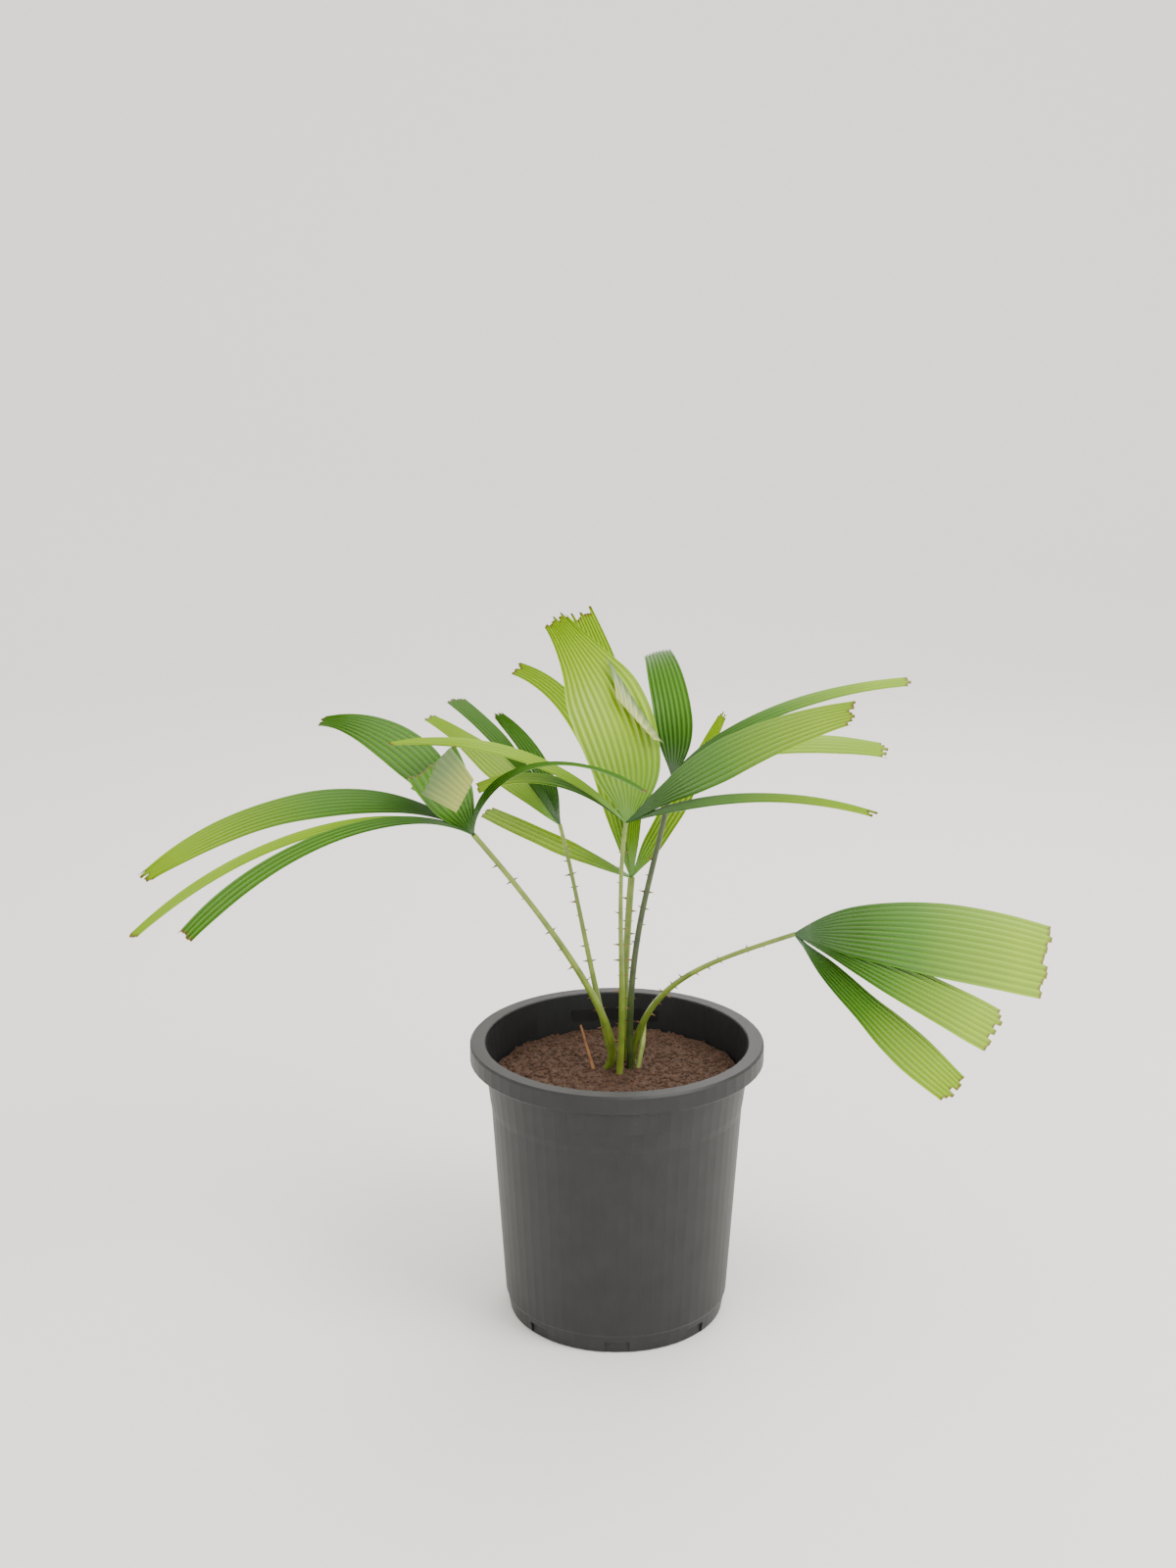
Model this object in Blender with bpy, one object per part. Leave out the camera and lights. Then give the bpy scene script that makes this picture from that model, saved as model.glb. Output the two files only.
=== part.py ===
"""A young fan palm in a black nursery pot: pot, soil, stem, petioles and fan-shaped fronds."""
import math
import bpy
import bmesh
import numpy as np
from mathutils import Vector

MM = 0.001
GAP = 0.3 * MM

# Pot, from the foot to the rim
POT_SIDES = 64
FOOT_RADIUS = 111.2 * MM
BASE_TOP_RADIUS = 114.1 * MM
BASE_HEIGHT = 18.5 * MM
WALL_FOOT_RADIUS = 115.5 * MM
COLLAR_RADIUS = 129.9 * MM
COLLAR_HEIGHT = 232.7 * MM
SKIRT_HEIGHT = 274.5 * MM
RIM_RADIUS = 150 * MM
RIM_INNER_RADIUS = 134.3 * MM
POT_HEIGHT = 294.5 * MM
WALL = 2.5 * MM
FLOOR_TOP = 8 * MM
NOTCH_COUNT = 8
NOTCH_WIDTH = 24 * MM
NOTCH_HEIGHT = 13 * MM
GRIP_HALF_ANGLE = math.radians(20.6)
GRIP_DEPTH = 22 * MM
GRIP_RADIUS = 144 * MM

SOIL_TOP = 259 * MM
SOIL_EDGE = 254 * MM
STEM_CENTRE = Vector((4.5, 6.0, 0)) * MM
STEM_RADIUS = 3.5 * MM
STEM_TOP = 285 * MM

# Fronds
HUB_RADIUS = 5 * MM
BLADE_ROWS = 9
THICKNESS_RATIO = 0.0105
MIN_THICKNESS = 2.2 * MM
PLEAT_RATIO = 0.09
WIDTH_STATIONS = (0.08, 0.18, 0.30, 0.45, 0.60, 0.75, 0.88, 1.0)

# Each petiole: foot, pull of the curve at the foot, pull at the hub, hub, foot radius, hub radius (mm)
PETIOLES = {
    "left": ((-9.6, 9.8, 259.3), (26, -20, 50), (60, 20, -80), (-140.7, -50, 526.7), 5.0, 2.9),
    "front": ((2.3, -5.7, 259.3), (7, -13, 105), (-11, 13, -86), (7.3, -45, 538.1), 3.9, 2.3),
    "low": ((15.3, 22.8, 259.3), (10, -28, 103), (-85, 28, -40), (172.9, -60, 428.6), 4.2, 2.5),
    "back": ((-3.5, 22.5, 259.3), (-26, -4, 110), (17, -13, -63), (-58.3, 50, 508.3), 3.9, 2.2),
    "inner": ((6.2, 26.2, 259.3), (1, -10, 70), (-5, -6, -60), (14.5, 35, 456.6), 4.0, 4.0),
    "right": ((13.8, 8.8, 259.3), (-6, -2, 150), (-16, -5, -101), (54.6, 20, 567), 4.0, 3.0),
}


def leaf(frond, name, **sizes):
    """One segment of a fan; angles in degrees, half widths in millimetres at WIDTH_STATIONS."""
    return dict(frond=frond, name=name, **sizes)


SEGMENTS = [
    leaf("left", "a1", heading=-171.4, turn=1.0, rise=47.1, droop=84.3, ease=0.60, length=344 * MM,
         faces=(-90, 55), tip_faces=(-90, 50), pleats=4,
         half_widths=(2.7, 7.6, 14, 17, 15, 14, 11, 6.4)),
    leaf("left", "a2", heading=-161.1, turn=-10.0, rise=35.7, droop=79.4, ease=0.60, length=369 * MM,
         faces=(-90, 60), tip_faces=(-90, 60), pleats=2,
         half_widths=(2.0, 4.0, 5.5, 6.0, 6.0, 6.0, 5.0, 4.0)),
    leaf("left", "a3", heading=-149.8, turn=-17.2, rise=41.7, droop=89.0, ease=0.60, length=324 * MM,
         faces=(-90, 55), tip_faces=(-90, 35), pleats=2,
         half_widths=(2.5, 4.0, 6.0, 7.0, 8.0, 9.0, 9.0, 7.5)),
    leaf("left", "a4", heading=148.9, turn=-1.8, rise=54.2, droop=67.4, ease=1.32, length=221 * MM,
         faces=(-80, 45), tip_faces=(-80, 45), pleats=4,
         half_widths=(5.8, 12, 20, 24, 22, 16, 9.6, 5.0)),
    leaf("left", "a5", heading=-140.5, turn=-0.0, rise=60.1, droop=0.7, ease=0.99, length=93 * MM,
         faces=(-70, 10), tip_faces=(-70, 10), pleats=4,
         half_widths=(4.5, 10, 16, 22, 25, 27, 28, 28)),
    leaf("left", "a6", heading=-27.3, turn=7.8, rise=99.7, droop=130.9, ease=0.62, length=229 * MM,
         faces=(-60, 20), tip_faces=(-90, 75), pleats=2,
         half_widths=(2.5, 4.0, 4.0, 3.2, 2.2, 2.0, 3.0, 2.0)),
    leaf("front", "b1", heading=180.0, turn=-0.1, rise=48.3, droop=58.0, ease=0.92, length=257 * MM,
         faces=(-90, 50), tip_faces=(-90, 65), pleats=2,
         half_widths=(2.5, 4.0, 5.5, 7.0, 7.5, 6.0, 4.5, 2.0)),
    leaf("front", "b2", heading=173.0, turn=2.4, rise=44.2, droop=72.9, ease=1.16, length=162 * MM,
         faces=(-80, 50), tip_faces=(-90, 60), pleats=2,
         half_widths=(2.5, 4.0, 5.0, 6.0, 6.5, 6.5, 7.0, 7.0)),
    leaf("front", "b3", heading=-14.3, turn=-0.3, rise=40.0, droop=25.8, ease=1.37, length=255 * MM,
         faces=(-110, 45), tip_faces=(-100, 50), pleats=4,
         half_widths=(5.7, 10, 19, 24, 22, 19, 16, 13)),
    leaf("front", "b4", heading=-22.6, turn=0.3, rise=24.4, droop=35.9, ease=1.16, length=256 * MM,
         faces=(-100, 60), tip_faces=(-90, 65), pleats=2,
         half_widths=(3.0, 5.5, 7.0, 7.0, 6.0, 5.5, 4.5, 3.5)),
    leaf("front", "b5", heading=156.1, turn=-19.0, rise=109.8, droop=71.8, ease=0.60, length=223 * MM,
         faces=(-90, 10), tip_faces=(-85, 30), pleats=6,
         half_widths=(15, 30, 36, 39, 37, 24, 16, 12)),
    leaf("inner", "d1", heading=149.7, turn=2.8, rise=77.4, droop=69.6, ease=2.20, length=261 * MM,
         faces=(-85, 15), tip_faces=(-80, 40), pleats=3,
         half_widths=(5.2, 10, 14, 13, 13, 11, 9.5, 7.7)),
    leaf("inner", "d2", heading=133.8, turn=-0.3, rise=96.1, droop=44.4, ease=1.02, length=284 * MM,
         faces=(-90, 5), tip_faces=(-90, 25), pleats=4,
         half_widths=(3.8, 7.6, 11, 14, 16, 14, 12, 11)),
    leaf("inner", "d4", heading=148.1, turn=-0.0, rise=13.1, droop=-0.5, ease=1.00, length=185 * MM,
         faces=(-60, 50), tip_faces=(-60, 50), pleats=2,
         half_widths=(4.0, 6.8, 9.5, 13, 12, 12, 11, 9.6)),
    leaf("inner", "d5", heading=44.6, turn=-1.3, rise=39.9, droop=-12.6, ease=0.60, length=204 * MM,
         faces=(-100, 10), tip_faces=(-110, 20), pleats=3,
         half_widths=(4.2, 10, 11, 13, 11, 7.3, 6.0, 4.0)),
    leaf("right", "e1", heading=117.7, turn=-25.5, rise=110.0, droop=122.1, ease=1.03, length=171 * MM,
         faces=(-90, 10), tip_faces=(-90, 20), pleats=4,
         half_widths=(7.7, 15, 19, 19, 18, 16, 14, 14)),
    leaf("right", "e3", heading=16.5, turn=-1.0, rise=45.4, droop=45.2, ease=0.62, length=273 * MM,
         faces=(-110, 50), tip_faces=(-100, 60), pleats=2,
         half_widths=(3.6, 5.9, 6.9, 7.6, 7.8, 7.0, 6.8, 6.7)),
    leaf("right", "e4", heading=8.2, turn=-0.9, rise=30.3, droop=43.7, ease=0.69, length=227 * MM,
         faces=(-100, 60), tip_faces=(-90, 60), pleats=3,
         half_widths=(4.3, 8.3, 11, 12, 13, 13, 11, 10)),
    leaf("back", "f1", heading=137.7, turn=-4.0, rise=29.2, droop=20.7, ease=1.68, length=217 * MM,
         faces=(-60, 40), tip_faces=(-60, 50), pleats=4,
         half_widths=(5.7, 10, 16, 20, 16, 11, 8.6, 6.7)),
    leaf("back", "f2", heading=123.4, turn=-0.4, rise=40.5, droop=30.0, ease=0.67, length=235 * MM,
         faces=(-70, 35), tip_faces=(-70, 50), pleats=3,
         half_widths=(2.8, 4.7, 5.5, 7.3, 10, 9.7, 9.9, 10)),
    leaf("back", "f3", heading=99.9, turn=25.6, rise=33.2, droop=17.8, ease=0.60, length=202 * MM,
         faces=(-80, 25), tip_faces=(-80, 45), pleats=3,
         half_widths=(2.5, 6.2, 8.8, 10, 9.8, 9.0, 7.5, 5.2)),
    leaf("low", "g1", heading=-1.5, turn=2.9, rise=9.8, droop=26.3, ease=0.60, length=256 * MM,
         faces=(-90, 40), tip_faces=(-80, 45), pleats=6,
         half_widths=(12, 24, 31, 37, 41, 42, 42, 41)),
    leaf("low", "g2", heading=-15.5, turn=2.2, rise=-15.8, droop=10.9, ease=0.60, length=218 * MM,
         faces=(-85, 40), tip_faces=(-75, 45), pleats=4,
         half_widths=(4.0, 8.0, 13, 18, 21, 23, 25, 25)),
    leaf("low", "g3", heading=-23.3, turn=-2.3, rise=-45.2, droop=-9.9, ease=0.60, length=218 * MM,
         faces=(-90, 35), tip_faces=(-80, 35), pleats=4,
         half_widths=(2.7, 8.7, 12, 14, 19, 21, 19, 17)),]

# Flaps folded over toward the front: frond, fold line ends, free edge ends (mm)
FLAPS = (
    ("left", (-199, -75, 580), (-160, -80, 622), (-137, -94, 594), (-154, -98, 563)),
    ("front", (43, -41, 616), (-12, -20, 697), (-2, -38, 660), (34, -51, 622)),
)
FLAP_THICKNESS = 1.6 * MM

COLOURS = {
    "pot": (0.012, 0.013, 0.014),
    "soil": (0.045, 0.022, 0.012),
    "stem": (0.13, 0.06, 0.025),
    "petiole": (0.10, 0.17, 0.02),
    "frond": (0.10, 0.25, 0.01),
    "spear": (0.30, 0.42, 0.10),
    "stub": (0.30, 0.12, 0.04),
}


def clear_scene():
    """Remove every object of the file that the script starts in."""
    for obj in list(bpy.data.objects):
        bpy.data.objects.remove(obj, do_unlink=True)


def material(name, kind, roughness=0.5):
    mat = bpy.data.materials.new(name)
    mat.use_nodes = True
    shader = mat.node_tree.nodes["Principled BSDF"]
    shader.inputs["Base Color"].default_value = (*COLOURS[kind], 1)
    shader.inputs["Roughness"].default_value = roughness
    shader.inputs["Metallic"].default_value = 0
    return mat


def add_object(name, verts, faces, kind, roughness=0.5):
    """Make a closed mesh object with its normals out and its own material."""
    mesh = bpy.data.meshes.new(name)
    mesh.from_pydata([tuple(v) for v in verts], [], faces)
    work = bmesh.new()
    work.from_mesh(mesh)
    bmesh.ops.recalc_face_normals(work, faces=work.faces)
    bmesh.ops.triangulate(work, faces=work.faces)
    work.to_mesh(mesh)
    work.free()
    mesh.shade_smooth()
    mesh.set_sharp_from_angle(angle=math.radians(35))
    obj = bpy.data.objects.new(name, mesh)
    bpy.context.scene.collection.objects.link(obj)
    mesh.materials.append(material(name, kind, roughness))
    return obj


def lathe(profile, sides, start=0.0, sweep=math.tau):
    """Turn a profile of (radius, height) about Z; a profile that ends on the axis closes in a pole."""
    closed = abs(sweep - math.tau) < 1e-6
    steps = sides if closed else sides + 1
    verts = []
    rings = []
    for radius, height in profile:
        if radius == 0:
            rings.append([len(verts)] * steps)
            verts.append((0, 0, height))
            continue
        rings.append(list(range(len(verts), len(verts) + steps)))
        for i in range(steps):
            angle = start + sweep * i / sides
            verts.append((radius * math.cos(angle), radius * math.sin(angle), height))
    faces = []
    for ring, above in zip(rings, rings[1:]):
        for i in range(sides):
            j = (i + 1) % steps
            quad = [ring[i], ring[j], above[j], above[i]]
            face = [v for k, v in enumerate(quad) if v not in quad[:k]]
            if len(face) > 2:
                faces.append(face)
    return verts, faces, rings


def arc_block(inner, outer, low, high, middle, half_angle, sides=10):
    """A curved block about the pot's axis."""
    profile = [(inner, low), (outer, low), (outer, high), (inner, high), (inner, low)]
    verts, faces, rings = lathe(profile[:4], sides, middle - half_angle, 2 * half_angle)
    for i in range(sides):
        faces.append([rings[3][i], rings[3][i + 1], rings[0][i + 1], rings[0][i]])
    faces.append([ring[0] for ring in rings])
    faces.append([ring[-1] for ring in reversed(rings)])
    return verts, faces


def apply_boolean(target, cutters, operation):
    """Join or cut target by the cutters with one exact Boolean, then remove them."""
    group = bpy.data.collections.new("cutters")
    for cutter in cutters:
        group.objects.link(cutter)
    modifier = target.modifiers.new("shape", "BOOLEAN")
    modifier.operation = operation
    modifier.operand_type = "COLLECTION"
    modifier.collection = group
    modifier.solver = "EXACT"
    bpy.context.view_layer.update()
    graph = bpy.context.evaluated_depsgraph_get()
    mesh = bpy.data.meshes.new_from_object(target.evaluated_get(graph))
    target.modifiers.remove(modifier)
    target.data = mesh
    for cutter in cutters:
        bpy.data.objects.remove(cutter, do_unlink=True)
    bpy.data.collections.remove(group)


def inner_radius(height):
    """Radius of the pot's inner wall at a height."""
    heights = (FLOOR_TOP, COLLAR_HEIGHT, POT_HEIGHT)
    radii = (FOOT_RADIUS - WALL, COLLAR_RADIUS - WALL, RIM_INNER_RADIUS)
    return float(np.interp(height, heights, radii))


def build_pot():
    step = 2 * MM
    foot_rise = 4 * MM
    profile = [
        (0, 0), (30 * MM, 0), (34 * MM, foot_rise), (96 * MM, foot_rise), (99 * MM, 0),
        (FOOT_RADIUS - step, 0), (FOOT_RADIUS, step), (BASE_TOP_RADIUS, BASE_HEIGHT),
        (WALL_FOOT_RADIUS, BASE_HEIGHT + 1.5 * step), (128.5 * MM, COLLAR_HEIGHT - 8 * MM),
        (COLLAR_RADIUS, COLLAR_HEIGHT), (COLLAR_RADIUS + 5 * MM, SKIRT_HEIGHT),
        (RIM_RADIUS - step, SKIRT_HEIGHT), (RIM_RADIUS, SKIRT_HEIGHT + step),
        (RIM_RADIUS, POT_HEIGHT - step), (RIM_RADIUS - step, POT_HEIGHT),
        (RIM_INNER_RADIUS + 1 * MM, POT_HEIGHT), (RIM_INNER_RADIUS, POT_HEIGHT - 1 * MM),
        (COLLAR_RADIUS - WALL, COLLAR_HEIGHT), (FOOT_RADIUS - WALL, FLOOR_TOP), (0, FLOOR_TOP),
    ]
    verts, faces, _ = lathe(profile, POT_SIDES)
    pot = add_object("pot", verts, faces, "pot", 0.45)
    grips = []
    for side in (-1, 1):
        block = arc_block(COLLAR_RADIUS + 1 * MM, GRIP_RADIUS, SKIRT_HEIGHT - GRIP_DEPTH,
                          SKIRT_HEIGHT + 3 * MM, side * math.pi / 2, GRIP_HALF_ANGLE)
        grips.append(add_object("grip", *block, "pot"))
    apply_boolean(pot, grips, "UNION")
    notches = []
    for i in range(NOTCH_COUNT):
        middle = -math.pi / 2 + i * math.tau / NOTCH_COUNT
        half = NOTCH_WIDTH / 2 / FOOT_RADIUS
        block = arc_block(FOOT_RADIUS - 1.5 * MM, FOOT_RADIUS + 9 * MM, -2 * MM,
                          NOTCH_HEIGHT, middle, half, 4)
        notches.append(add_object("notch", *block, "pot"))
    apply_boolean(pot, notches, "DIFFERENCE")


def build_soil():
    side = [(inner_radius(z) - 2 * GAP, z) for z in (FLOOR_TOP + GAP, COLLAR_HEIGHT, SOIL_EDGE)]
    top = [(110 * MM, SOIL_EDGE + 1 * MM), (75 * MM, SOIL_TOP - 2 * MM), (45 * MM, SOIL_TOP), (0, SOIL_TOP)]
    verts, faces, _ = lathe([(0, FLOOR_TOP + GAP)] + side + top, POT_SIDES)
    add_object("soil", verts, faces, "soil", 0.95)


def tube(points, radii, sides=8, flat_foot=False):
    """A round limb along points; a flat foot is cut level."""
    points = [Vector(p) for p in points]
    verts = []
    for i, centre in enumerate(points):
        tangent = (points[min(i + 1, len(points) - 1)] - points[max(i - 1, 0)]).normalized()
        side = tangent.cross(Vector((0, 1, 0))).normalized()
        other = tangent.cross(side)
        for k in range(sides):
            angle = math.tau * k / sides
            spot = centre + radii[i] * (math.cos(angle) * side + math.sin(angle) * other)
            if i == 0 and flat_foot:
                spot.z = centre.z
            verts.append(spot)
    faces = []
    for i in range(len(points) - 1):
        for k in range(sides):
            j = (k + 1) % sides
            faces.append([i * sides + k, i * sides + j, (i + 1) * sides + j, (i + 1) * sides + k])
    faces.append(list(range(sides)))
    faces.append(list(range((len(points) - 1) * sides, len(points) * sides)))
    return verts, faces


def hub_of(frond):
    return Vector(PETIOLES[frond][3]) * MM


def build_petiole(frond, rows=16):
    foot, pull, push, hub, foot_radius, hub_radius = PETIOLES[frond]
    start = Vector(foot) * MM
    start.z = SOIL_TOP + GAP
    end = Vector(hub) * MM
    end += (Vector(push) * MM).normalized() * (HUB_RADIUS + GAP)
    near = start + Vector(pull) * MM
    far = Vector(hub) * MM + Vector(push) * MM
    points = []
    radii = []
    for i in range(rows):
        t = i / (rows - 1)
        u = 1 - t
        points.append(u ** 3 * start + 3 * u * u * t * near + 3 * u * t * t * far + t ** 3 * end)
        radii.append((foot_radius + (hub_radius - foot_radius) * min(1, t * 1.4)) * MM)
    verts, faces = tube(points, radii, flat_foot=True)
    add_object("petiole_" + frond, verts, faces, "petiole")


def direction(angles):
    azimuth, height = (math.radians(a) for a in angles)
    level = math.cos(height)
    return Vector((level * math.cos(azimuth), level * math.sin(azimuth), math.sin(height)))


def blade_frames(part, count):
    """Centre, tangent and facing at count places from the hub to the tip."""
    fine = 12
    total = count * fine
    step = part["length"] / total
    spot = hub_of(part["frond"])
    frames = []
    for i in range(total + 1):
        s = i / total
        heading = math.radians(part["heading"] + part["turn"] * s)
        rise = math.radians(part["rise"] - part["droop"] * s ** part["ease"])
        tangent = Vector((math.cos(rise) * math.cos(heading), math.cos(rise) * math.sin(heading), math.sin(rise)))
        if i % fine == 0:
            face = direction(part["faces"]).lerp(direction(part["tip_faces"]), s)
            side = tangent.cross(face).normalized()
            frames.append((spot.copy(), side, side.cross(tangent).normalized(), s))
        spot += tangent * step
    return frames


def build_blade(part):
    """A pleated blade with an even thickness and a toothed, cut-off tip."""
    columns = 2 * part["pleats"]
    thickness = max(THICKNESS_RATIO * part["length"], MIN_THICKNESS)
    frames = blade_frames(part, BLADE_ROWS)
    tops = []
    bottoms = []
    for centre, side, normal, s in frames:
        half = float(np.interp(s, (0,) + WIDTH_STATIONS, (1.5,) + part["half_widths"])) * MM
        for j in range(columns + 1):
            u = 2 * j / columns - 1
            pleat = (1 if j % 2 else -1) * min(half * PLEAT_RATIO, 2.2 * MM) * min(1, s * 4)
            cup = -0.12 * half * u * u
            back = (0.02 * part["length"] if j % 2 else 0) * (s > 0.999)
            spot = centre + side * (u * half) + normal * (pleat + cup)
            spot -= normal.cross(side).normalized() * -back if back else Vector((0, 0, 0))
            tops.append(spot + normal * thickness / 2)
            bottoms.append(spot - normal * thickness / 2)
    width = columns + 1
    rows = BLADE_ROWS + 1
    shift = len(tops)
    faces = []
    for i in range(rows - 1):
        for j in range(columns):
            a = i * width + j
            quad = [a, a + 1, a + width + 1, a + width]
            faces.append(quad)
            faces.append([v + shift for v in reversed(quad)])
    border = [j for j in range(width)]
    border += [i * width + columns for i in range(1, rows)]
    border += [(rows - 1) * width + j for j in range(columns - 1, -1, -1)]
    border += [i * width for i in range(rows - 2, 0, -1)]
    for a, b in zip(border, border[1:] + border[:1]):
        faces.append([a, b, b + shift, a + shift])
    return add_object(part["name"], tops + bottoms, faces, "frond")


def build_flap(corners):
    corners = [Vector(c) * MM for c in corners]
    normal = (corners[1] - corners[0]).cross(corners[3] - corners[0]).normalized() * FLAP_THICKNESS / 2
    verts = [c + normal for c in corners] + [c - normal for c in corners]
    faces = [[0, 1, 2, 3], [7, 6, 5, 4]]
    faces += [[i, (i + 1) % 4, (i + 1) % 4 + 4, i + 4] for i in range(4)]
    return add_object("flap", verts, faces, "frond")


def build_frond(frond):
    """All segments of one fan, joined at the knob where the petiole ends."""
    bpy.ops.mesh.primitive_ico_sphere_add(subdivisions=2, radius=HUB_RADIUS, location=hub_of(frond))
    knob = bpy.context.object
    knob.name = "frond_" + frond
    knob.data.materials.append(material("frond_" + frond, "frond"))
    joined = [build_blade(part) for part in SEGMENTS if part["frond"] == frond]
    joined += [build_flap(flap[1:]) for flap in FLAPS if flap[0] == frond]
    apply_boolean(knob, joined, "UNION")


def build_small_parts():
    foot = STEM_CENTRE + Vector((0, 0, SOIL_TOP + GAP))
    top = STEM_CENTRE + Vector((0, 0, STEM_TOP))
    add_object("stem", *tube([foot, foot.lerp(top, 0.7), top], [STEM_RADIUS, STEM_RADIUS * 0.9, STEM_RADIUS * 0.6],
                             flat_foot=True), "stem")
    spear_foot = Vector((22 * MM, 6 * MM, SOIL_TOP + GAP))
    spear_top = spear_foot + Vector((8, 6, 48)) * MM
    add_object("spear", *tube([spear_foot, spear_foot.lerp(spear_top, 0.6), spear_top],
                              [2.4 * MM, 2.8 * MM, 0.5 * MM], 6, True), "spear")
    stub_foot = Vector((-24 * MM, 6 * MM, SOIL_TOP + GAP))
    add_object("dry_stub", *tube([stub_foot, stub_foot + Vector((-13, 10, 44)) * MM],
                                 [2.0 * MM, 1.0 * MM], 6, True), "stub")


def main():
    clear_scene()
    build_pot()
    build_soil()
    build_small_parts()
    for frond in PETIOLES:
        build_petiole(frond)
        build_frond(frond)


main()
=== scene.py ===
"""Dresses the young fan palm in its nursery pot: pleated fronds, spiny petioles, soil and studio."""
import math
import bpy
import bmesh
import numpy as np
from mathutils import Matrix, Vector


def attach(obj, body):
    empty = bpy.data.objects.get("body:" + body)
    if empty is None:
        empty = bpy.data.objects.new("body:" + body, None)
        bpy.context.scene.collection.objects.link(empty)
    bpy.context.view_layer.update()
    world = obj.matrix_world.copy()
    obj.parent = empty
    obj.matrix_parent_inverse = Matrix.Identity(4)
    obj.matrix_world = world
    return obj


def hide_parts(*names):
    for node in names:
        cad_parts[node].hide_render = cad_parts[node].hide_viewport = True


bl_info = {
    "name": "Potted fan palm",
    "version": (1, 0, 0),
    "blender": (4, 5, 0),
    "location": "View3D > Sidebar > Palm",
    "description": "Builds a young fan palm in a nursery pot, with its stage",
    "category": "Object",
}

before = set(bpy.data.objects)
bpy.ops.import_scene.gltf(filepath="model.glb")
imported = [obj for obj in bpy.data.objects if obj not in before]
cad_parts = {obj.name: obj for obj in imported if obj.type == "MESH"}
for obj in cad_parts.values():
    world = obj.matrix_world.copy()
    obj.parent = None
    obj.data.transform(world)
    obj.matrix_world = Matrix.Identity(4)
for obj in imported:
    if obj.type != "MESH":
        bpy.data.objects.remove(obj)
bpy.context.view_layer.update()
MM = 0.001

CAMERA_PLACE = (-0.0294, -2.0770, 1.1314)
CAMERA_TILT = math.radians(74.729)
CAMERA_LENS = 50

SWEEP_BACK = 3.0
SWEEP_BEND = 1.5
SWEEP_STEPS = 24

SOIL_HEIGHT = 0.2585
SOIL_RADIUS = 0.1265
HUB_RADIUS = 5 * MM
BLADE_ROWS = 56
COLUMNS_PER_PLEAT = 4
WIDTH_STATIONS = (0.08, 0.18, 0.30, 0.45, 0.60, 0.75, 0.88, 1.0)

# Each petiole: foot, pull of the curve at the foot, pull at the hub, hub, foot radius, hub radius (mm)
PETIOLES = {
    "left": ((-9.6, 9.8, 259.3), (26, -20, 50), (60, 20, -80), (-140.7, -50, 526.7), 5.0, 2.9),
    "front": ((2.3, -5.7, 259.3), (7, -13, 105), (-11, 13, -86), (7.3, -45, 538.1), 3.9, 2.3),
    "low": ((15.3, 22.8, 259.3), (10, -28, 103), (-85, 28, -40), (172.9, -60, 428.6), 4.2, 2.5),
    "back": ((-3.5, 22.5, 259.3), (-26, -4, 110), (17, -13, -63), (-58.3, 50, 508.3), 3.9, 2.2),
    "inner": ((6.2, 26.2, 259.3), (1, -10, 70), (-5, -6, -60), (14.5, 35, 456.6), 4.0, 4.0),
    "right": ((13.8, 8.8, 259.3), (-6, -2, 150), (-16, -5, -101), (54.6, 20, 567), 4.0, 3.0),
}


def leaf(frond, name, **sizes):
    """One segment of a fan; angles in degrees, half widths in millimetres at WIDTH_STATIONS."""
    return dict(frond=frond, name=name, **sizes)


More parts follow.
